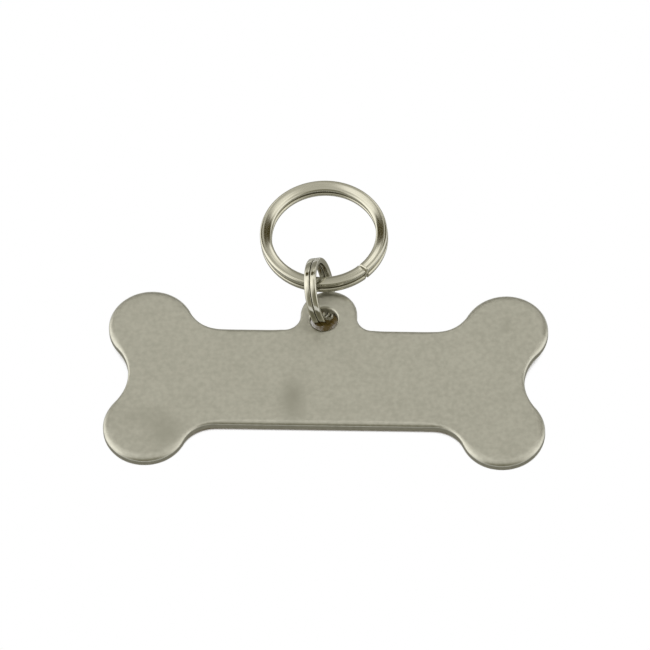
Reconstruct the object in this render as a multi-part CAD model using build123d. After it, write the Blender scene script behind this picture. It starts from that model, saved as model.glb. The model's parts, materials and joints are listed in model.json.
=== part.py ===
from build123d import *
import os
from math import sqrt

# Pet id tag: a bone-shaped metal plate, hung from a large split ring by a small split ring.
# Lengths are in millimetres and angles in degrees.
# The tag lies face up, +X runs along the bone and +Y points from the bone to the rings.
# The origin is the centre of the large ring, where a collar carries the tag.

# Tag: sheet, bone outline and lug
SHEET = 1.2            # thickness of the stamped plate
EDGE_ROUND = 0.38      # tumbled round on every edge of the plate
LOBE_R = 4.95          # radius of the four knuckles of the bone
LOBE_X = 20.75         # knuckle centres, from the middle of the bone
LOBE_Y = 6.96          # knuckle centres, from the bone's long axis
BAR_HALF = 6.67        # half the height of the bone's straight bar
NECK_R = 3.93          # hollow round between the bar and each knuckle
NOTCH_R = 5.7          # hollow round between the two knuckles of one end
LUG_R = 3.3            # radius of the lug's round top
LUG_STEM = 0.38        # straight stretch of the lug's sides
LUG_FILLET = 1.9       # hollow round at the foot of the lug
HOLE_PLAY = 0.85       # room for the small ring on each side in the lug's hole
HOLE_X = -0.55         # the hole is punched a little off the lug's middle line
HOLE_DROP = 0.78       # hole centre below the centre of the lug's round top

# Split rings: each is one flattened wire wound twice round
TURN_GAP = 0.06        # hairline gap between the two turns
WIRE_ROUND = 0.3       # round on the long edges of both wires
RING_OD = 15.0         # large ring, outside diameter
RING_WIRE_W = 1.35     # large ring's wire, across the band
RING_WIRE_T = 0.7      # large ring's wire, along the ring's axis
RING_STEP = 16.0       # arc over which the wire climbs from one turn to the next
RING_STEP_AT = -43.0   # middle of that arc, from +X
LINK_OD = 8.0          # small ring, outside diameter
LINK_WIRE_W = 0.72     # small ring's wire, across the band
LINK_WIRE_T = 0.72     # small ring's wire, along the ring's axis
LINK_STEP = 34.0       # arc over which the small ring's wire climbs
LINK_STEP_AT = 150.0   # middle of that arc, from the top of the small ring

# How the pieces lie on each other
LINK_SEAT = 0.42       # room between the small ring's bore and the lug's web in it
LINK_SIDE = 0.08       # the small ring passes this far left of the hole's middle
LINK_LEAN = 15.4       # the small ring leans to the left
LINK_TURN = -1.5       # and turns a little about the upright
RING_SEAT = 0.2        # room between the lug's face and the large ring over it
RING_PLAY = 0.91       # room between the large ring's band and the far side of the small ring's bore
RING_SIDE = -0.96      # the large ring lies this far from the bone's middle

ROUND_LIMIT = 0.45     # most of a wall's thickness that the round on one edge may take
GAP_POINTS = 720       # points along a wire on which its gap is measured

# Sizes that follow from these
RING_AXIAL = 2 * RING_WIRE_T + TURN_GAP
LINK_AXIAL = 2 * LINK_WIRE_T + TURN_GAP
RING_R = RING_OD / 2
LINK_BORE_R = LINK_OD / 2 - LINK_WIRE_W
HOLE_R = LINK_AXIAL / 2 + HOLE_PLAY
LUG_Y = BAR_HALF + LUG_FILLET + LUG_STEM
LUG_TIP = LUG_Y + LUG_R
HOLE_Y = LUG_Y - HOLE_DROP
WEB_NEAR = HOLE_Y + HOLE_R
WEB_HALF = (LUG_TIP - WEB_NEAR) / 2

# Small ring: upright, with the web between the hole and the lug's tip at the bottom of its bore
LINK_AXIS = Vector(1, 0, 0).rotate(Axis.Y, -LINK_LEAN).rotate(Axis.Z, LINK_TURN)
LINK_Y = WEB_NEAR + WEB_HALF
LINK_Z = sqrt((LINK_BORE_R - LINK_SEAT) ** 2 - WEB_HALF**2)
LINK_X = HOLE_X - LINK_SIDE + (
    LINK_AXIS.Y * (HOLE_Y - LINK_Y) + LINK_AXIS.Z * (SHEET / 2 - LINK_Z)
) / LINK_AXIS.X
LINK_CENTRE = Vector(LINK_X, LINK_Y, LINK_Z)

# Large ring: parallel to the tag, with its near band inside the small ring and over the lug's tip
RING_Z = SHEET + RING_SEAT + RING_AXIAL / 2
BORE_DROP = abs(RING_Z - LINK_Z) + RING_AXIAL / 2
BORE_FAR = LINK_Y + sqrt(LINK_BORE_R**2 - BORE_DROP**2)
BAND_CENTRE = Vector(RING_SIDE, BORE_FAR - RING_PLAY - RING_WIRE_W / 2, RING_Z)
RING_CENTRE = BAND_CENTRE + Vector(0, RING_R - RING_WIRE_W / 2, 0)


def on_circle(centre, radius, towards):
    """Point of a circle that faces another point."""
    return centre + (towards - centre).normalized() * radius


def bone_outline():
    """Closed outline of the tag: knuckles, bar and lug, in lines and tangent arcs."""
    lobe = Vector(LOBE_X, LOBE_Y)
    reach = LOBE_R + NECK_R
    rise = BAR_HALF + NECK_R - LOBE_Y
    neck = Vector(LOBE_X - sqrt(reach**2 - rise**2), BAR_HALF + NECK_R)
    notch = Vector(LOBE_X + sqrt((LOBE_R + NOTCH_R) ** 2 - LOBE_Y**2), 0)
    neck_start = Vector(neck.X, BAR_HALF)
    neck_end = on_circle(lobe, LOBE_R, neck)
    lobe_end = on_circle(lobe, LOBE_R, notch)
    outward = (lobe * 2 - neck - notch).normalized()
    neck_mid = on_circle(neck, NECK_R, neck_start + neck_end - neck)
    foot = Vector(LUG_R + LUG_FILLET, BAR_HALF)
    foot_mid = on_circle(foot + Vector(0, LUG_FILLET), LUG_FILLET, Vector(LUG_R, BAR_HALF))
    stem_foot = Vector(LUG_R, BAR_HALF + LUG_FILLET)
    stem_top = Vector(LUG_R, LUG_Y)

    neck_arc = ThreePointArc(neck_start, neck_mid, neck_end)
    lobe_arc = ThreePointArc(neck_end, lobe + outward * LOBE_R, lobe_end)
    notch_arc = ThreePointArc(
        lobe_end, notch - Vector(NOTCH_R, 0), Vector(lobe_end.X, -lobe_end.Y)
    )
    knuckles = [neck_arc, lobe_arc, notch_arc]
    knuckles += [mirror(arc, about=Plane.XZ) for arc in (neck_arc, lobe_arc)]
    lug_side = [
        Line(stem_top, stem_foot),
        ThreePointArc(stem_foot, foot_mid, foot),
        Line(foot, neck_start),
    ]
    right = knuckles + lug_side
    left = [mirror(edge, about=Plane.YZ) for edge in right]
    lug_top = ThreePointArc(
        stem_top, Vector(0, LUG_TIP), Vector(-stem_top.X, stem_top.Y)
    )
    lower = Line(Vector(-neck.X, -BAR_HALF), Vector(neck.X, -BAR_HALF))
    return right + left + [lug_top, lower]


def make_tag():
    """The plate: outline and hole cut from sheet, with every edge rounded."""
    blank = make_face(bone_outline()) - Pos(HOLE_X, HOLE_Y) * Circle(HOLE_R)
    plate = extrude(blank, SHEET)
    rims = plate.edges().filter_by(GeomType.LINE).filter_by(Axis.Z, reverse=True)
    rims += plate.edges().filter_by(GeomType.CIRCLE)
    return fillet(rims, min(EDGE_ROUND, ROUND_LIMIT * SHEET))


def joining_arcs(start, along, end, onward):
    """Two arcs that leave one point along one line and come to another point along another.

    Both tangents have the same length, set so that their far ends lie two such lengths apart.
    The arcs then meet in line half way between those far ends.
    """
    across = end - start
    both = along + onward
    bend = 2 * (1 - along.dot(onward))
    lead = across.dot(both)
    tangent = (sqrt(lead**2 + bend * across.dot(across)) - lead) / bend
    meeting = (start + along * tangent + end - onward * tangent) / 2
    first = TangentArc(start, meeting, tangent=along)
    second = TangentArc(meeting, end, tangent=first % 1)
    return [first, second]


def wire_path(outer_d, wire_w, wire_t, step):
    """Middle line of a split ring's wire about Z: a flat turn, a climb at +X and a flat turn."""
    mean_r = (outer_d - wire_w) / 2
    half_turn = (360 - step) / 2
    height = (wire_t + TURN_GAP) / 2
    starts = (step / 2, step / 2 + half_turn)
    low = [CenterArc((0, 0, -height), mean_r, start, half_turn) for start in starts]
    high = [CenterArc((0, 0, height), mean_r, start, half_turn) for start in starts]
    climb = joining_arcs(low[-1] @ 1, low[-1] % 1, high[0] @ 0, high[0] % 0)
    return Wire(low + climb + high)


def least_gap(path, wire_t):
    """Least room between two stretches of a wire that pass over each other, on points."""
    points = [path @ (i / GAP_POINTS) for i in range(GAP_POINTS + 1)]
    spacing = path.length / GAP_POINTS
    rooms = []
    for i, low in enumerate(points):
        for high in points[i + GAP_POINTS // 4:]:
            apart = high - low
            if sqrt(apart.X**2 + apart.Y**2) < spacing:
                rooms.append(abs(apart.Z) - wire_t)
    return min(rooms)


def make_split_ring(path, wire_w, wire_t):
    """A split ring: one flat wire with rounded edges, swept upright along its path."""
    start = Plane(origin=path @ 0, x_dir=(0, 0, 1), z_dir=path % 0)
    edge = min(WIRE_ROUND, ROUND_LIMIT * wire_w, ROUND_LIMIT * wire_t)
    section = start * RectangleRounded(wire_t, wire_w, edge)
    upright = Pos(0, 0, path.length) * path
    return sweep(section, path, binormal=upright)


ring_path = wire_path(RING_OD, RING_WIRE_W, RING_WIRE_T, RING_STEP)
link_path = wire_path(LINK_OD, LINK_WIRE_W, LINK_WIRE_T, LINK_STEP)
tag = make_tag()
split_ring = make_split_ring(ring_path, RING_WIRE_W, RING_WIRE_T)
link_ring = make_split_ring(link_path, LINK_WIRE_W, LINK_WIRE_T)

# The small ring's top, where its climb is counted from, is the upper end of its leaning plane
link_top = LINK_AXIS.cross(Vector(0, 1, 0))
link_place = Plane(origin=LINK_CENTRE, x_dir=link_top, z_dir=LINK_AXIS).location
split_ring = Pos(RING_CENTRE) * Rot(0, 0, RING_STEP_AT) * split_ring
link_ring = link_place * Rot(0, 0, LINK_STEP_AT) * link_ring

pieces = {"tag": tag, "link_ring": link_ring, "split_ring": split_ring}
os.makedirs("parts", exist_ok=True)
for name, piece in pieces.items():
    placed = Pos(-RING_CENTRE) * piece
    export_step(placed, os.path.join("parts", name + ".step"))
    print(name, "volume", round(placed.volume, 3), "mm3", "valid", placed.is_valid)

print("large ring, least gap of the wire to itself", round(least_gap(ring_path, RING_WIRE_T), 3), "mm")
print("small ring, least gap of the wire to itself", round(least_gap(link_path, LINK_WIRE_T), 3), "mm")
print("link turns about", LINK_AXIS, "through", LINK_CENTRE - RING_CENTRE)
print("large ring swings about X through", BAND_CENTRE - RING_CENTRE)
print("hole radius", round(HOLE_R, 3), "large ring over the lug's tip", round(LUG_TIP - RING_CENTRE.Y + RING_R, 3))
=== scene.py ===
# %% [markdown]
# # A bone-shaped pet id tag
# The tag is a plate stamped from sheet metal, nickel plated and tumbled to a satin finish.
# It hangs from a large split ring by a small split ring that passes through its lug.
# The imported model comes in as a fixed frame, in metres, with its joints.
# Each piece then gets a finer surface in the same place, worked out with numpy, and its own finish.

# %% Load the frame
import json
from math import ceil, cos, pi, radians, sin, sqrt

import bmesh
import bpy
import numpy as np
from mathutils import Matrix, Vector


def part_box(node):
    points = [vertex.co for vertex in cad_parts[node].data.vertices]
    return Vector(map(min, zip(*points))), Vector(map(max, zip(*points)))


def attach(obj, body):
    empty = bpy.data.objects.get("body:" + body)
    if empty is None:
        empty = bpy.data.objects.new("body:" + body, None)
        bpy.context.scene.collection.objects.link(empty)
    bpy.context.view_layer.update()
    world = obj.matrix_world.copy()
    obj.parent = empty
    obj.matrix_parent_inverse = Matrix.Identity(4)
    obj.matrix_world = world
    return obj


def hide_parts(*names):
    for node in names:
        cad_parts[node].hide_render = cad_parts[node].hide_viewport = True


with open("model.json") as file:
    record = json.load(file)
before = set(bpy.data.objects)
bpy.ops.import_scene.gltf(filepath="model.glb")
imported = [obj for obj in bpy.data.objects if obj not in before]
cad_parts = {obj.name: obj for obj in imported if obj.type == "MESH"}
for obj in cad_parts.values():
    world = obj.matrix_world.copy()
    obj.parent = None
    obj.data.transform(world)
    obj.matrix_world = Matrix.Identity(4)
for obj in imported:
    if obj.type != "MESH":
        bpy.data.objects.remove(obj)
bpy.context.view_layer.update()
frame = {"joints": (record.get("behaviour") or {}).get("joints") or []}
MM = 0.001
joints = {joint["name"]: joint for joint in frame["joints"]}
tag_low, tag_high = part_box("tag")

# %% [markdown]
# ## Meshes from arrays
# Every surface in this file is a grid of points, one row for each step along a path or outline.
# The faces of such a grid follow from its shape alone, so one function makes them for all pieces.
# A direction that runs round into itself is closed by joining its last points to its first.

# %% Grid faces and new pieces


def grid_faces(rows, columns, rows_close=False, columns_close=True):
    """Corner numbers of each face: a point, the next in its row, and the two in the next row."""
    i = np.arange(rows if rows_close else rows - 1)[:, None]
    j = np.arange(columns if columns_close else columns - 1)[None, :]
    next_i = (i + 1) % rows
    next_j = (j + 1) % columns
    corners = [i * columns + j, i * columns + next_j, next_i * columns + next_j, next_i * columns + j]
    return np.stack(np.broadcast_arrays(*corners), -1).reshape(-1, 4)


def new_piece(name, points, faces):
    """A mesh object at the origin, from points in millimetres and lists of corner numbers."""
    mesh = bpy.data.meshes.new(name)
    mesh.from_pydata((points * MM).tolist(), [], faces.tolist())
    mesh.polygons.foreach_set("use_smooth", np.ones(len(mesh.polygons), bool))
    piece = bpy.data.objects.new(name, mesh)
    bpy.context.scene.collection.objects.link(piece)
    return piece


def store(piece, name, values):
    """Keeps one number, or one vector, for each point of a piece, for its finish to read."""
    values = np.asarray(values, np.float32)
    vectors = values.ndim > 1 and values.shape[-1] == 3
    layer = piece.data.attributes.new(name, "FLOAT_VECTOR" if vectors else "FLOAT", "POINT")
    layer.data.foreach_set("vector" if vectors else "value", values.ravel())


print("a closed grid of 3 by 4 points has", len(grid_faces(3, 4, rows_close=True)), "faces")

# %% [markdown]
# ## The plate's outline
# A die cuts the bone from sheet, so its outline is what a die maker draws: arcs that run into
# each other and into straight lines. Each stretch gives its points and the direction that faces
# out of the metal there. The bone is the same on both sides, so only one side is drawn.

# %% Bone outline
# Lengths in this file are in millimetres, unless a note says metres
LOBE_R = 4.95                  # radius of a knuckle
LOBE_X, LOBE_Y = 20.75, 6.96   # centre of a knuckle, from the middle of the bone
BAR_HALF = 6.67                # half the height of the straight bar
NECK_R = 3.93                  # hollow between the bar and a knuckle
NOTCH_R = 5.7                  # hollow between the two knuckles of one end
LUG_R = 3.3                    # round top of the lug
LUG_STEM = 0.38                # straight stretch of the lug's sides
LUG_FILLET = 1.9               # hollow at the foot of the lug
SPACING = 0.16                 # between neighbouring points of the outline


def arc(centre, radius, start, end, hollow=False):
    """Points at even steps of angle round a centre. Out of the metal is away from the centre,
    or towards it where the outline is hollow."""
    count = ceil(abs(radians(end - start)) * radius / SPACING) + 1
    angle = np.radians(np.linspace(start, end, count))
    away = np.column_stack([np.cos(angle), np.sin(angle)])
    return np.array(centre) + radius * away, -away if hollow else away


def level_line(start_x, end_x, y):
    """Points at even steps along a straight stretch that faces +Y."""
    x = np.linspace(start_x, end_x, ceil(abs(end_x - start_x) / SPACING) + 1)
    return np.column_stack([x, np.full_like(x, y)]), np.tile([0.0, 1.0], (len(x), 1))


def joined(stretches):
    """Stretches one after another, as one array of points and one of directions."""
    return tuple(np.concatenate(part) for part in zip(*stretches))


def mirrored(outline, flip):
    """The outline seen in a mirror, run backwards so that it goes on the same way round."""
    return tuple(part[::-1] * flip for part in outline)


def angle_to(start, end):
    """Direction from one point to another, in degrees."""
    return np.degrees(np.arctan2(end[1] - start[1], end[0] - start[0]))


lug_y = BAR_HALF + LUG_FILLET + LUG_STEM
neck_y = BAR_HALF + NECK_R
neck = (LOBE_X - sqrt((LOBE_R + NECK_R) ** 2 - (neck_y - LOBE_Y) ** 2), neck_y)
notch = (LOBE_X + sqrt((LOBE_R + NOTCH_R) ** 2 - LOBE_Y**2), 0.0)
lobe = (LOBE_X, LOBE_Y)
knuckle = [
    arc(neck, NECK_R, 270, 360 + angle_to(neck, lobe), hollow=True),
    arc(lobe, LOBE_R, angle_to(lobe, neck), angle_to(lobe, notch)),
    arc(notch, NOTCH_R, angle_to(notch, lobe), 180, hollow=True),
]
lug = [
    arc((0, lug_y), LUG_R, 90, 0),
    arc((LUG_R + LUG_FILLET, BAR_HALF + LUG_FILLET), LUG_FILLET, 180, 270, hollow=True),
    level_line(LUG_R + LUG_FILLET, neck[0], BAR_HALF),
]
upper = joined(lug + knuckle)
lower = mirrored(joined([level_line(0, neck[0], BAR_HALF)] + knuckle), np.array([1, -1]))
right = joined([upper, lower])
edge, outward = joined([right, mirrored(right, np.array([-1, 1]))])
# A point where two stretches meet comes twice, and the second one is dropped
fresh = np.linalg.norm(edge - np.roll(edge, 1, 0), axis=1) > SPACING / 100
edge, outward = edge[fresh], outward[fresh]
print("bone outline:", len(edge), "points,", np.ptp(edge, axis=0).round(2), "mm")

# %% [markdown]
# ## The stamped plate
# Punching draws the sheet's face down along its edge, and tumbling rounds what is left.
# A bevel modifier would give the same round everywhere with a hard start, so the rim is worked out:
# one profile, carried round the outline, that leaves the face without a crease.
# Tumbling wears what sticks out, so the round is wide on the knuckles and narrow in the hollows.
# The hole has the same kind of rim. The flat faces between the rims are filled with triangles.

# %% Plate surface
SHEET = (tag_high.z - tag_low.z) / MM
HOLE_R = 1.6
HOLE_SIDE, HOLE_DROP = -0.55, 0.78   # hole's centre, from the centre of the lug's round top
HOLE_POINTS = 180
ROLL_WIDTH = (0.4, 1.0)              # round of the front edge, in a hollow and on a knuckle
ROLL_DEPTH = (0.26, 0.46)
HOLE_ROLL = (0.36, 0.3)              # width and depth of the round at the hole
BACK_ROUND = 0.26                    # round of the back edge
WEAR_REACH = 2.0                     # how far along the outline the wear evens out
RIM_STEPS = 16
FACING_SLACK = 1e-3
hole_middle = np.array([HOLE_SIDE, lug_y - HOLE_DROP])
bone_middle = np.array([
    (tag_low.x + tag_high.x) / 2 / MM, tag_low.y / MM + LOBE_Y + LOBE_R, tag_low.z / MM,
])


def wear_along(path, facing):
    """How much each point of a closed outline sticks out, from 0 in a hollow to 1 on a knuckle.

    The outline bends by the sine between one outward direction and the next. That bend for each
    millimetre, times a knuckle's radius, is averaged over the reach of the wear on both sides.
    """
    step = np.linalg.norm(np.roll(path, -1, 0) - path, axis=1)
    following = np.roll(facing, -1, 0)
    bend = (facing[:, 1] * following[:, 0] - facing[:, 0] * following[:, 1]) / step * LOBE_R
    half = round(WEAR_REACH / SPACING)
    window = np.hanning(2 * half + 1)
    round_about = np.concatenate([bend[-half:], bend, bend[:half]])
    smooth = np.convolve(round_about, window / window.sum(), "valid")
    return np.clip(0.5 + 0.5 * smooth, 0, 1)


def rim_surface(path, facing, width, depth):
    """A rim carried round a closed path, from the front face over the edge to the back.

    Each corner is a quarter of an ellipse. What is left of its width falls as one minus the sine
    of an angle, and the height falls by its depth times one minus the cosine. The front corner
    has the width and depth given for each point of the path, and the back corner a small round.
    """
    turn = np.linspace(0, pi / 2, RIM_STEPS)
    near, fall = 1 - np.sin(turn), 1 - np.cos(turn)
    back = np.full_like(path[:, :1], BACK_ROUND)
    inset = np.concatenate([width[:, None] * near, back * near[::-1]], 1)
    height = np.concatenate([SHEET - depth[:, None] * fall, back * fall[::-1]], 1)
    flat = path[:, None, :] - facing[:, None, :] * inset[:, :, None]
    return np.concatenate([flat, height[:, :, None]], -1)


def fill_face(piece, loops, up):
    """Fills the flat face between an outer loop of points and a hole, facing up or down."""
    work = bmesh.new()
    work.from_mesh(piece.data)
    work.verts.ensure_lookup_table()
    rings = [[work.verts[k] for k in loop] for loop in loops]
    edges = [work.edges.get(pair) for ring in rings for pair in zip(ring, ring[1:] + ring[:1])]
    filled = bmesh.ops.triangle_fill(work, use_beauty=True, edges=edges, normal=(0, 0, up))
    for face in filled["geom"]:
        if isinstance(face, bmesh.types.BMFace):
            face.smooth = False
            if face.normal.z * up < 0:
                face.normal_flip()
    work.to_mesh(piece.data)
    work.free()


hole_turn = np.linspace(0, 2 * pi, HOLE_POINTS, endpoint=False)
hole_away = np.column_stack([np.cos(hole_turn), np.sin(hole_turn)])
wear = wear_along(edge, outward)
roll_width, roll_depth = [np.interp(wear, (0, 1), ends) for ends in (ROLL_WIDTH, ROLL_DEPTH)]
outer_rim = rim_surface(edge, outward, roll_width, roll_depth)
hole_width, hole_depth = np.ones((2, len(hole_turn))) * np.array(HOLE_ROLL)[:, None]
hole_rim = rim_surface(hole_middle + HOLE_R * hole_away, -hole_away, hole_width, hole_depth)
across = 2 * RIM_STEPS
outer_count = len(edge) * across
plate_points = np.concatenate([outer_rim.reshape(-1, 3), hole_rim.reshape(-1, 3)]) + bone_middle
outer_faces = grid_faces(len(edge), across, rows_close=True, columns_close=False)
hole_faces = grid_faces(len(hole_turn), across, rows_close=True, columns_close=False)
plate_faces = np.concatenate([outer_faces, outer_count + hole_faces])[:, ::-1]
bone_plate = new_piece("bone_plate", plate_points, plate_faces)
outer_loop = np.arange(len(edge)) * across
hole_loop = outer_count + np.arange(len(hole_turn)) * across
over_rim = np.concatenate([np.linspace(0, 1, RIM_STEPS), np.linspace(1, 0, RIM_STEPS)])
store(bone_plate, "rim", np.tile(over_rim, len(edge) + len(hole_turn)))
fill_face(bone_plate, [outer_loop.tolist(), hole_loop.tolist()], 1)
fill_face(bone_plate, [(outer_loop + across - 1).tolist(), (hole_loop + across - 1).tolist()], -1)
outer_normals = np.array([face.normal for face in bone_plate.data.polygons[:len(outer_faces)]])
outer_facing = np.repeat(outward, across - 1, 0)
faces_out = (outer_normals[:, :2] * outer_facing).sum(1) > -FACING_SLACK
print("plate:", len(bone_plate.data.polygons), "faces, rim faces out:", bool(faces_out.all()))
print("wear:", wear.min().round(2), "to", wear.max().round(2))

# %% [markdown]
# ## Split rings
# A split ring is one drawn wire, wound twice round and pressed flat, with two cut ends.
# A torus would lose the seam, the climb and the ends, so each ring is a section carried along
# its wire: a flat turn, a short climb of one wire, and a second flat turn on top of the first.
# The two turns are pressed together, so each is flat where they meet. The other side is flattened
# too. It has round edges and slopes down towards the inside, so the whole flat of the wire mirrors
# one part of the room at a time. Springing the ring open has left its lower turn a little nearer
# to the tag than the upper one, so both turns show along the near side.
# Each cut end laps a little way over the climb and is thinner there, so that the ring closes.

# %% Wound wire
TURN_GAP = 0.06                   # hairline between the two turns
WIRE_SIDES = 64                   # points round the section
END_ROUND, END_STEPS = 0.05, 8    # round on the edge of a cut end
END_LAP = 0.36                    # how far an end laps over the climb, as a share of it
CLIMB_PART = 8                    # one point in so many is added near the climb
SEAM_ROUND = 0.28                 # from the seam to where the wire is widest
SEAM_POWER, TOP_POWER = 5.0, 3.2  # how square the two halves of the section are
TOP_SLOPE, TOP_EDGE = 0.16, 0.8   # fall of the flat, and its start as a share of half the width
MERGE = 1e-8                      # points closer than this are one, in metres


def wound_wire(outer_d, wire_w, wire_t, step, step_at, slip, count):
    """Points of a wire wound twice about Z, section by section, with each point's place in the wire.

    The middle line goes round at one radius. It stays half a wire below the middle, rises over
    the step as half a cosine wave, and stays half a wire above. The section is made of two halves
    of superellipses that meet where the wire is widest: one of high power, nearly flat, on the side
    of the other turn, and one of lower power on the side away from it. That side's height falls
    by the slope times the distance from near the outer edge, so it is highest there. The lower
    turn is moved by its slip. An end that laps over the climb is as thin as the room over it
    leaves, and over its last stretch the section shrinks to nothing, so that the cut has a round
    edge.
    """
    mean_r = (outer_d - wire_w) / 2
    rise = (wire_t + TURN_GAP) / 2
    lap = END_LAP * step
    end_turn = np.degrees(END_ROUND / mean_r)
    ease = np.sin(np.linspace(0, pi / 2, END_STEPS))
    first, last = step / 2 - lap, 720 - step / 2 + lap
    even = np.linspace(first + end_turn, last - end_turn, count)
    close = np.linspace(360 - step, 360 + step, count // CLIMB_PART)
    turn = np.unique(np.concatenate([
        first + end_turn * (1 - ease), even, close, last - end_turn * (1 - ease),
    ]))
    to_end = np.minimum(turn - first, last - turn)[:, None]
    size = np.sqrt(1 - (1 - np.clip(to_end / end_turn, 0, 1)) ** 2)
    over_climb = np.clip(lap - to_end, 0, lap) / step
    thin = (rise * (1 + np.cos(pi * over_climb)) - TURN_GAP) / wire_t
    level = -np.cos(pi * np.clip((turn - 360) / step + 0.5, 0, 1))[:, None]
    side = np.linspace(0, 2 * pi, WIRE_SIDES, endpoint=False)[None, :]
    up = np.sign(np.sin(side))
    meets = 0.5 - 0.5 * level * up
    power = 2 / (TOP_POWER + (SEAM_POWER - TOP_POWER) * meets)
    widest = level * (SEAM_ROUND - wire_t / 2)
    across = wire_w / 2 * np.sign(np.cos(side)) * np.abs(np.cos(side)) ** power
    axial = widest + (wire_t / 2 * up - widest * np.abs(up)) * np.abs(np.sin(side)) ** power
    flat = (1 - meets) * np.abs(np.sin(side)) ** power
    axial = axial - level * flat * TOP_SLOPE * (TOP_EDGE * wire_w / 2 - across)
    radius = mean_r + across * size
    height = level * (rise + (1 - thin) * wire_t / 2) + axial * thin * size
    angle = np.broadcast_to(np.radians(turn + step_at)[:, None], radius.shape)
    slipped = (0.5 - 0.5 * level)[:, :, None] * np.array([*slip, 0.0])
    points = np.stack([radius * np.cos(angle), radius * np.sin(angle), height], -1) + slipped
    seam = np.clip(-level * axial / (wire_t / 2), 0, 1)
    length = np.radians(turn)[:, None] * mean_r
    place = np.stack(np.broadcast_arrays(across, axial, length), -1)
    return points, seam, place


def ring_piece(name, wound, centre, axis, top):
    """A split ring set on its centre, with its axis and its top turned the way they lie."""
    points, seam, place = wound
    z = np.array(axis) / np.linalg.norm(axis)
    x = np.array(top) - z * np.dot(top, z)
    x = x / np.linalg.norm(x)
    turned = points @ np.array([x, np.cross(z, x), z]) + np.array(centre)
    rows, columns = seam.shape
    piece = new_piece(name, turned.reshape(-1, 3), grid_faces(rows, columns))
    store(piece, "seam", seam)
    store(piece, "wire", place)
    work = bmesh.new()
    work.from_mesh(piece.data)
    bmesh.ops.remove_doubles(work, verts=work.verts, dist=MERGE)
    bmesh.ops.recalc_face_normals(work, faces=work.faces)
    work.to_mesh(piece.data)
    work.free()
    return piece


# Outside diameter, wire, arc and place of the climb in degrees, slip, and steps along the wire
LARGE_WIRE = dict(
    outer_d=15.0, wire_w=1.35, wire_t=0.7, step=5.0, step_at=-46.0, slip=(0.08, -0.2), count=900,
)
SMALL_WIRE = dict(
    outer_d=8.0, wire_w=0.72, wire_t=0.72, step=20.0, step_at=150.0, slip=(0.0, 0.0), count=620,
)
link_axis = np.array(joints["link_turn"]["axis"])
link_centre = np.array(joints["link_turn"]["pos_m"]) / MM
link_top = np.cross(link_axis, (0, 1, 0))
large_ring = ring_piece("large_split_ring", wound_wire(**LARGE_WIRE), (0, 0, 0), (0, 0, 1), (1, 0, 0))
small_ring = ring_piece("small_split_ring", wound_wire(**SMALL_WIRE), link_centre, link_axis, link_top)
for ring in (large_ring, small_ring):
    sides = [round(side / MM, 2) for side in ring.dimensions]
    print(ring.name, len(ring.data.polygons), "faces", sides, "mm")

# %% [markdown]
# ## Finishes
# Colours are written as they look on a screen, so one function turns them into the linear values
# that the shaders use. One more adds a node with its settings and links. Every pattern takes its
# scale from a size on the real metal, in millimetres.

# %% Colour and node helpers


def colour(code):
    """An sRGB hex code as linear red, green, blue and alpha."""
    parts = np.array([int(code[k:k + 2], 16) for k in (1, 3, 5)]) / 255
    linear = np.where(parts <= 0.04045, parts / 12.92, ((parts + 0.055) / 1.055) ** 2.4)
    return (*linear, 1.0)


def add(tree, kind, inputs=None, **settings):
    """Adds a node. Settings are its own values, inputs are its sockets' values or links."""
    node = tree.nodes.new(kind)
    for name, value in settings.items():
        setattr(node, name, value)
    for name, value in (inputs or {}).items():
        if isinstance(value, bpy.types.NodeSocket):
            tree.links.new(value, node.inputs[name])
        else:
            node.inputs[name].default_value = value
    return node


def per_mm(size):
    """Scale of a pattern whose features are this many millimetres apart."""
    return 1 / (size * MM)


def new_material(name):
    """An empty material with its output node."""
    material = bpy.data.materials.new(name)
    material.use_nodes = True
    material.node_tree.nodes.clear()
    return material, material.node_tree, add(material.node_tree, "ShaderNodeOutputMaterial")


print("a grey that looks half bright is", round(colour("#808080")[0], 2), "of the light of white")

# %% [markdown]
# The plate is steel under satin nickel. Tumbling leaves a fine even grain with no direction, so
# the face looks softly mottled, and a few faint darker marks lie over it in listed places.
# The rim has rubbed against other tags in the tumbler and is a little smoother than the face.

# %% Satin nickel plate
GRAIN, CLOUD = 0.55, 5.0                            # sizes of the grain and of the clouds in it
CLOUD_SHARE = 0.2                                   # share of the clouds in the mottle
MOTTLE_SPAN, GRAIN_SPAN = (0.35, 0.65), (0.3, 0.7)  # stretch of each noise that is used
FACE_ROUGH, RIM_ROUGH = (0.38, 0.46), 0.28
GRAIN_BUMP, GRAIN_HEIGHT = 0.1, 0.02                # strength and height of the grain's relief
PLATE_LIGHT, PLATE_DARK, PLATE_MARK = "#c1c0b6", "#b4b3a9", "#a09f94"
# Each mark: its middle from the middle of the bone, its reach along the bone and across, its strength
MARKS = (
    ((-18.7, -7.8), (3.6, 4.4), 0.5),
    ((-21.4, -5.9), (4.6, 2.4), 0.4),
    ((-3.8, -3.3), (2.5, 4.6), 0.8),
    ((20.8, 7.6), (0.8, 1.5), 0.5),
)


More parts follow.
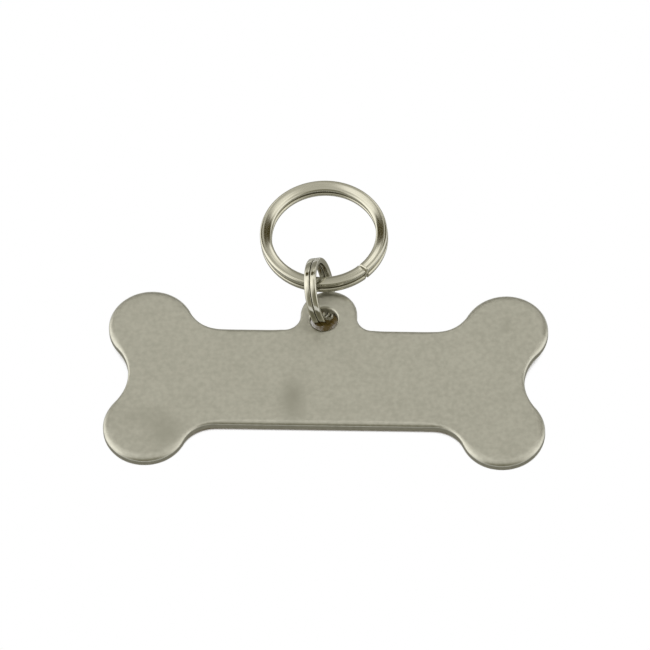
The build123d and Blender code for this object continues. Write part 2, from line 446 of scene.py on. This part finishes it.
def satin_nickel():
    """Metal whose colour, gloss and height all follow the tumbled grain, with soft marks over it."""
    material, tree, output = new_material("satin_nickel_plate")
    place = add(tree, "ShaderNodeTexCoord").outputs["Object"]
    grain = add(tree, "ShaderNodeTexNoise", {"Vector": place, "Scale": per_mm(GRAIN), "Detail": 3.0})
    cloud = add(tree, "ShaderNodeTexNoise", {"Vector": place, "Scale": per_mm(CLOUD), "Detail": 4.0})
    rim = add(tree, "ShaderNodeAttribute", attribute_name="rim").outputs["Fac"]
    mottle = add(tree, "ShaderNodeMix",
                 {"Factor": CLOUD_SHARE, "A": grain.outputs["Fac"], "B": cloud.outputs["Fac"]})
    amount = add(tree, "ShaderNodeMapRange",
                 {"Value": mottle.outputs["Result"],
                  "From Min": MOTTLE_SPAN[0], "From Max": MOTTLE_SPAN[1]})
    tint = add(tree, "ShaderNodeMix",
               {"Factor": amount.outputs[0], "A": colour(PLATE_DARK), "B": colour(PLATE_LIGHT)},
               data_type="RGBA")
    for (x, y), reach, strength in MARKS:
        middle = (bone_middle + (x, y, SHEET)) * MM
        local = add(tree, "ShaderNodeMapping",
                    {"Vector": place, "Location": middle, "Scale": (reach[0] * MM, reach[1] * MM, 1)},
                    vector_type="TEXTURE")
        away = add(tree, "ShaderNodeVectorMath", {0: local.outputs[0]}, operation="LENGTH")
        # The clouds are a half on average, so twice the strength times the clouds is about the strength
        mark = add(tree, "ShaderNodeMapRange",
                   {"Value": away.outputs["Value"], "To Min": 2 * strength, "To Max": 0.0},
                   interpolation_type="SMOOTHSTEP")
        broken = add(tree, "ShaderNodeMath", {0: mark.outputs[0], 1: cloud.outputs["Fac"]},
                     operation="MULTIPLY", use_clamp=True)
        tint = add(tree, "ShaderNodeMix",
                   {"Factor": broken.outputs[0], "A": tint.outputs["Result"], "B": colour(PLATE_MARK)},
                   data_type="RGBA")
    gloss = add(tree, "ShaderNodeMapRange",
                {"Value": grain.outputs["Fac"], "From Min": GRAIN_SPAN[0], "From Max": GRAIN_SPAN[1],
                 "To Min": FACE_ROUGH[0], "To Max": FACE_ROUGH[1]})
    rubbed = add(tree, "ShaderNodeMix", {"Factor": rim, "A": gloss.outputs[0], "B": RIM_ROUGH})
    bump = add(tree, "ShaderNodeBump",
               {"Height": grain.outputs["Fac"], "Strength": GRAIN_BUMP, "Distance": GRAIN_HEIGHT * MM})
    shader = add(tree, "ShaderNodeBsdfPrincipled",
                 {"Base Color": tint.outputs["Result"], "Metallic": 1.0,
                  "Roughness": rubbed.outputs["Result"], "Normal": bump.outputs[0]})
    tree.links.new(shader.outputs[0], output.inputs["Surface"])
    return material


# %% [markdown]
# The rings are spring steel wire, drawn, wound and then nickel plated bright. The wire keeps fine
# lines along its length from the drawing die. Towards the seam where the turns meet, the colour is
# painted darker: partly dirt in the groove, partly painted shade between the turns.
# Real draw lines are finer than a pixel here, so they are drawn as wide as they need to show.

# %% Bright nickel wire
DRAW_LINE, DRAW_LENGTH = 0.16, 5.0               # width and length of the draw lines
WORN_SPAN, LINE_SPAN = (0.35, 0.65), (0.3, 0.7)  # stretch of the noise used for colour and for gloss
WIRE_ROUGH = (0.17, 0.1)
SEAM_SHADE_FROM, SEAM_SHADE_MOST = 0.8, 0.2                  # how near the seam the painted shade and dirt start, and their most
LINE_BUMP, LINE_HEIGHT = 0.12, 0.03              # strength and height of the lines' relief
# The seam colour is dirt together with painted shade between the turns
WIRE_BRIGHT, WIRE_DULL, WIRE_SEAM_SHADE_AND_DIRT = "#c9c7bb", "#bbb9ab", "#6b6238"


def bright_nickel():
    """Polished metal, with colour painted darker into the seam as dirt and painted shade, and faint lines
    along the wire.
    """
    material, tree, output = new_material("bright_nickel_wire")
    along = add(tree, "ShaderNodeAttribute", attribute_name="wire").outputs["Vector"]
    stretched = add(tree, "ShaderNodeMapping",
                    {"Vector": along, "Scale": (1 / DRAW_LINE, 1 / DRAW_LINE, 1 / DRAW_LENGTH)})
    lines = add(tree, "ShaderNodeTexNoise",
                {"Vector": stretched.outputs[0], "Scale": 1.0, "Detail": 2.0})
    seam = add(tree, "ShaderNodeAttribute", attribute_name="seam").outputs["Fac"]
    worn = add(tree, "ShaderNodeMapRange",
               {"Value": lines.outputs["Fac"], "From Min": WORN_SPAN[0], "From Max": WORN_SPAN[1]})
    plain = add(tree, "ShaderNodeMix",
                {"Factor": worn.outputs[0], "A": colour(WIRE_DULL), "B": colour(WIRE_BRIGHT)},
                data_type="RGBA")
    # Painted shade and dirt: the colour turns dark olive towards the seam between the turns
    seam_dirt_and_shade = add(tree, "ShaderNodeMapRange", {"Value": seam, "From Min": SEAM_SHADE_FROM, "To Max": SEAM_SHADE_MOST})
    tint = add(tree, "ShaderNodeMix",
               {"Factor": seam_dirt_and_shade.outputs[0], "A": plain.outputs["Result"], "B": colour(WIRE_SEAM_SHADE_AND_DIRT)},
               data_type="RGBA")
    gloss = add(tree, "ShaderNodeMapRange",
                {"Value": lines.outputs["Fac"], "From Min": LINE_SPAN[0], "From Max": LINE_SPAN[1],
                 "To Min": WIRE_ROUGH[0], "To Max": WIRE_ROUGH[1]})
    bump = add(tree, "ShaderNodeBump",
               {"Height": lines.outputs["Fac"], "Strength": LINE_BUMP, "Distance": LINE_HEIGHT * MM})
    shader = add(tree, "ShaderNodeBsdfPrincipled",
                 {"Base Color": tint.outputs["Result"], "Metallic": 1.0, "Roughness": gloss.outputs[0],
                  "Normal": bump.outputs[0]})
    tree.links.new(shader.outputs[0], output.inputs["Surface"])
    return material


wire_finish = bright_nickel()
bone_plate.data.materials.append(satin_nickel())
large_ring.data.materials.append(wire_finish)
small_ring.data.materials.append(wire_finish)
print("finishes:", [material.name for material in bpy.data.materials])

# %% [markdown]
# ## Joining the frame
# Each new piece stands for one solid of the frame, and rides on the same body, so the joints
# carry it along.

# %% Pieces on their bodies
for piece, node, slot in (
    (bone_plate, "tag", "tag_plate"),
    (small_ring, "link_ring", "ring_wire"),
    (large_ring, "split_ring", "ring_wire"),
):
    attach(piece, node)
    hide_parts(node)
    print(piece.name, "stands for", node)

# %% [markdown]
# ## Floor and light
# On a table the tag rests on its lower knuckles and on the small ring under its lug, so it slopes
# a little. The frame keeps the tag level, and here the white sheet under it takes the slope.
# The sheet is white in reflections and darkens where the tag covers it. The room behind it is white
# to the camera too, so the sheet lets the camera through where it has no shade, and a ring that
# swings down past the sheet's level stays in view.

# %% Floor
FLOOR_HALF = 0.5                      # half the side of the sheet, in metres
SHADE_REACH, SHADE_SAMPLES = 7.0, 16  # how far off a piece still shades the sheet, and rays to find it
# Shares of open sky at which each shade is full and at which it is gone
SEEN_SHADE, MIRRORED_SHADE, MIRRORED_DEEP = (0.22, 0.42), (0.9, 1.0), (0.3, 0.5)
PAPER, DEEP_SHADE, HALF_SHADE = "#e8e6e0", "#4a3d1c", "#9f9d91"


def white_sheet():
    """White paper: a matt surface for the light, a white one for reflections, and a shade for the eye.

    Both follow how much of the sky each point sees. A reflection shows more of the shade.
    """
    material, tree, output = new_material("white_paper")
    path = add(tree, "ShaderNodeLightPath").outputs
    in_metal = add(tree, "ShaderNodeMath",
                   {0: path["Is Glossy Ray"], 1: path["Is Transmission Ray"]}, operation="MAXIMUM")
    cover = add(tree, "ShaderNodeAmbientOcclusion", {"Distance": SHADE_REACH * MM}, samples=SHADE_SAMPLES)
    sky = cover.outputs["AO"]
    seen_open, mirrored_open, mirrored_lit = [
        add(tree, "ShaderNodeMapRange", {"Value": sky, "From Min": low, "From Max": high},
            interpolation_type="SMOOTHSTEP").outputs[0]
        for low, high in (SEEN_SHADE, MIRRORED_SHADE, MIRRORED_DEEP)
    ]
    near = add(tree, "ShaderNodeMix",
               {"Factor": mirrored_lit, "A": colour(DEEP_SHADE), "B": colour(HALF_SHADE)},
               data_type="RGBA")
    mirror = add(tree, "ShaderNodeMix",
                 {"Factor": mirrored_open, "A": near.outputs["Result"], "B": colour("#ffffff")},
                 data_type="RGBA")
    white = add(tree, "ShaderNodeEmission", {"Color": mirror.outputs["Result"], "Strength": 1.0})
    paper = add(tree, "ShaderNodeBsdfDiffuse", {"Color": colour(PAPER)})
    unseen = add(tree, "ShaderNodeMixShader",
                 {0: in_metal.outputs[0], 1: paper.outputs[0], 2: white.outputs[0]})
    shade = add(tree, "ShaderNodeEmission", {"Color": colour(DEEP_SHADE), "Strength": 1.0})
    clear = add(tree, "ShaderNodeBsdfTransparent")
    eye = add(tree, "ShaderNodeMixShader", {0: seen_open, 1: shade.outputs[0], 2: clear.outputs[0]})
    mix = add(tree, "ShaderNodeMixShader",
              {0: path["Is Camera Ray"], 1: unseen.outputs[0], 2: eye.outputs[0]})
    tree.links.new(mix.outputs[0], output.inputs["Surface"])
    return material


link_points = np.array([point.co for point in small_ring.data.vertices])
front_edge = np.array([tag_low.y + BACK_ROUND * MM, tag_low.z])
slope = ((front_edge[1] - link_points[:, 2]) / (link_points[:, 1] - front_edge[0])).max()
floor_mesh = bpy.data.meshes.new("floor")
corners = np.array([(-1, -1), (1, -1), (1, 1), (-1, 1)]) * FLOOR_HALF
heights = front_edge[1] - slope * (corners[:, 1] - front_edge[0])
floor_mesh.from_pydata(np.column_stack([corners, heights]).tolist(), [], [(0, 1, 2, 3)])
floor = bpy.data.objects.new("floor", floor_mesh)
bpy.context.scene.collection.objects.link(floor)
floor_mesh.materials.append(white_sheet())
print("floor slopes by", np.degrees(np.arctan(slope)).round(2), "degrees")

# %% [markdown]
# Metal shows what is round it, so the light is drawn as a room: a tent of white cloth round the tag,
# with the camera's opening in front. Lamps behind the cloth make it bright on the left and right,
# high up on both sides and in two places at the back. It is dim low down at the back. The cloths
# leave a dark gap at each back corner, and the two gaps give the bright wire its two dark patches.
# Overhead is an even roof.

# %% Room
# Each stop of the walls: degrees round the horizon from the back, colour, strength
TENT_WALLS = (
    (-180, "#8f8c78", 1.0), (-150, "#b4b1a1", 1.0), (-125, "#fffdf6", 1.2), (-95, "#fffdf6", 1.9),
    (-60, "#fffdf6", 1.6), (-28, "#d2d0c5", 1.0), (-14, "#e2e0d6", 1.0), (0, "#d2d0c5", 1.0),
    (8, "#e2e0d6", 1.0), (22, "#d8d6cc", 1.0), (45, "#c9c7bc", 1.0), (75, "#fffdf6", 1.5),
    (105, "#fffdf6", 1.4), (125, "#f4f2e9", 1.0), (150, "#b4b1a1", 1.0), (180, "#8f8c78", 1.0),
)
TENT_ROOF = "#e0ded5"
ROOF_RISE = (54, 76)  # degrees of height between which the roof takes over from the walls
# Each spot: name, direction, degrees from its middle where it is full and gone, colour, strength
TENT_SPOTS = (
    ("opening", (0, -0.77, 0.64), (16, 40), "#8f8c78", 1.0),
    ("low back", (0, 0.985, 0.17), (18, 32), "#a5a398", 1.0),
    ("low back left", (-0.5, 0.86, 0.1), (8, 20), "#a5a398", 1.0),
    ("low back right", (0.5, 0.86, 0.1), (8, 20), "#a5a398", 1.0),
    ("lamp left", (-0.29, 0.32, 0.9), (6, 13), "#fffdf6", 1.55),
    ("lamp right", (0.29, 0.32, 0.9), (6, 13), "#fffdf6", 1.55),
    ("back lamp right", (0.25, 0.745, 0.62), (5, 10), "#fffdf6", 1.5),
    ("back lamp left", (-0.26, 0.67, 0.69), (4, 6.5), "#fffdf6", 1.7),
    ("gap left, top", (-0.22, 0.54, 0.81), (3, 6), "#4f461e", 1.0),
    ("gap left", (-0.38, 0.535, 0.755), (6.5, 9.5), "#4f461e", 1.0),
    ("gap left, foot", (-0.53, 0.53, 0.66), (6, 9), "#4f461e", 1.0),
    ("gap right, top", (0.22, 0.555, 0.8), (4, 8), "#4f461e", 1.0),
    ("gap right", (0.38, 0.55, 0.74), (7, 10), "#4f461e", 1.0),
    ("gap right, foot", (0.53, 0.545, 0.645), (6, 9), "#4f461e", 1.0),
)


def lit(tint, strength):
    """The colour of cloth with a lamp behind it: each part of the tint times the strength."""
    return [part * strength for part in colour(tint)[:3]] + [1.0]


def tent_room():
    """The world: a wall colour for each direction round the horizon, and the roof above.

    The direction round the horizon is the angle whose tangent is X over Y, so the back is 0 and
    the right is 90 degrees. The roof takes over between two heights, by the sine of the height.
    Then come soft round spots, each full up to one angle from its middle and gone at another. The
    cosine of that angle is the dot product of the two directions.
    """
    world = bpy.data.worlds.new("tent_room")
    world.use_nodes = True
    tree = world.node_tree
    tree.nodes.clear()
    direction = add(tree, "ShaderNodeTexCoord").outputs["Generated"]
    toward = add(tree, "ShaderNodeSeparateXYZ", {0: direction}).outputs
    bearing = add(tree, "ShaderNodeMath", {0: toward["X"], 1: toward["Y"]}, operation="ARCTAN2")
    place = add(tree, "ShaderNodeMapRange", {"Value": bearing.outputs[0], "From Min": -pi, "From Max": pi})
    walls = add(tree, "ShaderNodeValToRGB", {"Fac": place.outputs[0]})
    walls.color_ramp.interpolation = "EASE"
    stops = walls.color_ramp.elements
    for _ in TENT_WALLS[2:]:
        stops.new(0.5)
    for stop, (degrees, tint, strength) in zip(stops, TENT_WALLS):
        stop.position = (degrees + 180) / 360
        stop.color = lit(tint, strength)
    low, high = [sin(radians(height)) for height in ROOF_RISE]
    over = add(tree, "ShaderNodeMapRange", {"Value": toward["Z"], "From Min": low, "From Max": high},
               interpolation_type="SMOOTHSTEP")
    light = add(tree, "ShaderNodeMix",
                {"Factor": over.outputs[0], "A": walls.outputs["Color"], "B": colour(TENT_ROOF)},
                data_type="RGBA")
    for name, middle, (full, gone), tint, strength in TENT_SPOTS:
        near = add(tree, "ShaderNodeVectorMath", {0: direction, 1: Vector(middle).normalized()},
                   operation="DOT_PRODUCT")
        low, high = [cos(radians(reach)) for reach in (gone, full)]
        spot = add(tree, "ShaderNodeMapRange",
                   {"Value": near.outputs["Value"], "From Min": low, "From Max": high},
                   interpolation_type="SMOOTHSTEP", label=name)
        light = add(tree, "ShaderNodeMix",
                    {"Factor": spot.outputs[0], "A": light.outputs["Result"], "B": lit(tint, strength)},
                    data_type="RGBA")
    ray = add(tree, "ShaderNodeLightPath").outputs
    shown = add(tree, "ShaderNodeMix",
                {"Factor": ray["Is Camera Ray"], "A": light.outputs["Result"], "B": colour("#ffffff")},
                data_type="RGBA")
    glow = add(tree, "ShaderNodeBackground", {"Color": shown.outputs["Result"], "Strength": 1.0})
    tree.links.new(glow.outputs[0], add(tree, "ShaderNodeOutputWorld").inputs["Surface"])
    return world


bpy.context.scene.world = tent_room()
print("tent:", len(TENT_WALLS), "stops round the walls,", len(TENT_SPOTS), "spots")

# %% [markdown]
# ## Camera
# The picture was taken from well above the tag with a long lens, a little from the right and not
# quite level. The camera stands that far off and looks along that line, and the lens is worked
# out from the width of the picture at the tag.

# %% Camera
AZIMUTH, ELEVATION, ROLL = 4.87, 56.0, 3.27  # degrees
CAMERA_DISTANCE = 1150.0
PICTURE_WIDTH = 75.76                        # width that the picture shows at the tag
AIM_RIGHT, AIM_UP = -0.15, 6.71              # from the middle of the bone, as the picture lies
SENSOR = 36.0
SIGHT_END = 10.0                             # in metres

bone_centre = Vector(bone_middle) * MM
a, e, r = radians(AZIMUTH), radians(ELEVATION), radians(ROLL)
back = Vector((sin(a) * cos(e), -cos(a) * cos(e), sin(e)))
level = Vector((cos(a), sin(a), 0))
above = back.cross(level)
across_view = level * cos(r) - above * sin(r)
up_view = level * sin(r) + above * cos(r)
aim = bone_centre + (across_view * AIM_RIGHT + up_view * AIM_UP) * MM
camera_data = bpy.data.cameras.new("camera")
camera_data.sensor_width = SENSOR
camera_data.lens = SENSOR * CAMERA_DISTANCE / PICTURE_WIDTH
camera_data.clip_end = SIGHT_END
camera = bpy.data.objects.new("camera", camera_data)
axes = Matrix((across_view, up_view, back)).transposed().to_4x4()
camera.matrix_world = Matrix.Translation(aim + back * CAMERA_DISTANCE * MM) @ axes
bpy.context.scene.collection.objects.link(camera)
bpy.context.scene.camera = camera
bpy.context.scene.view_settings.view_transform = "Standard"
print("lens", round(camera_data.lens, 1), "mm")
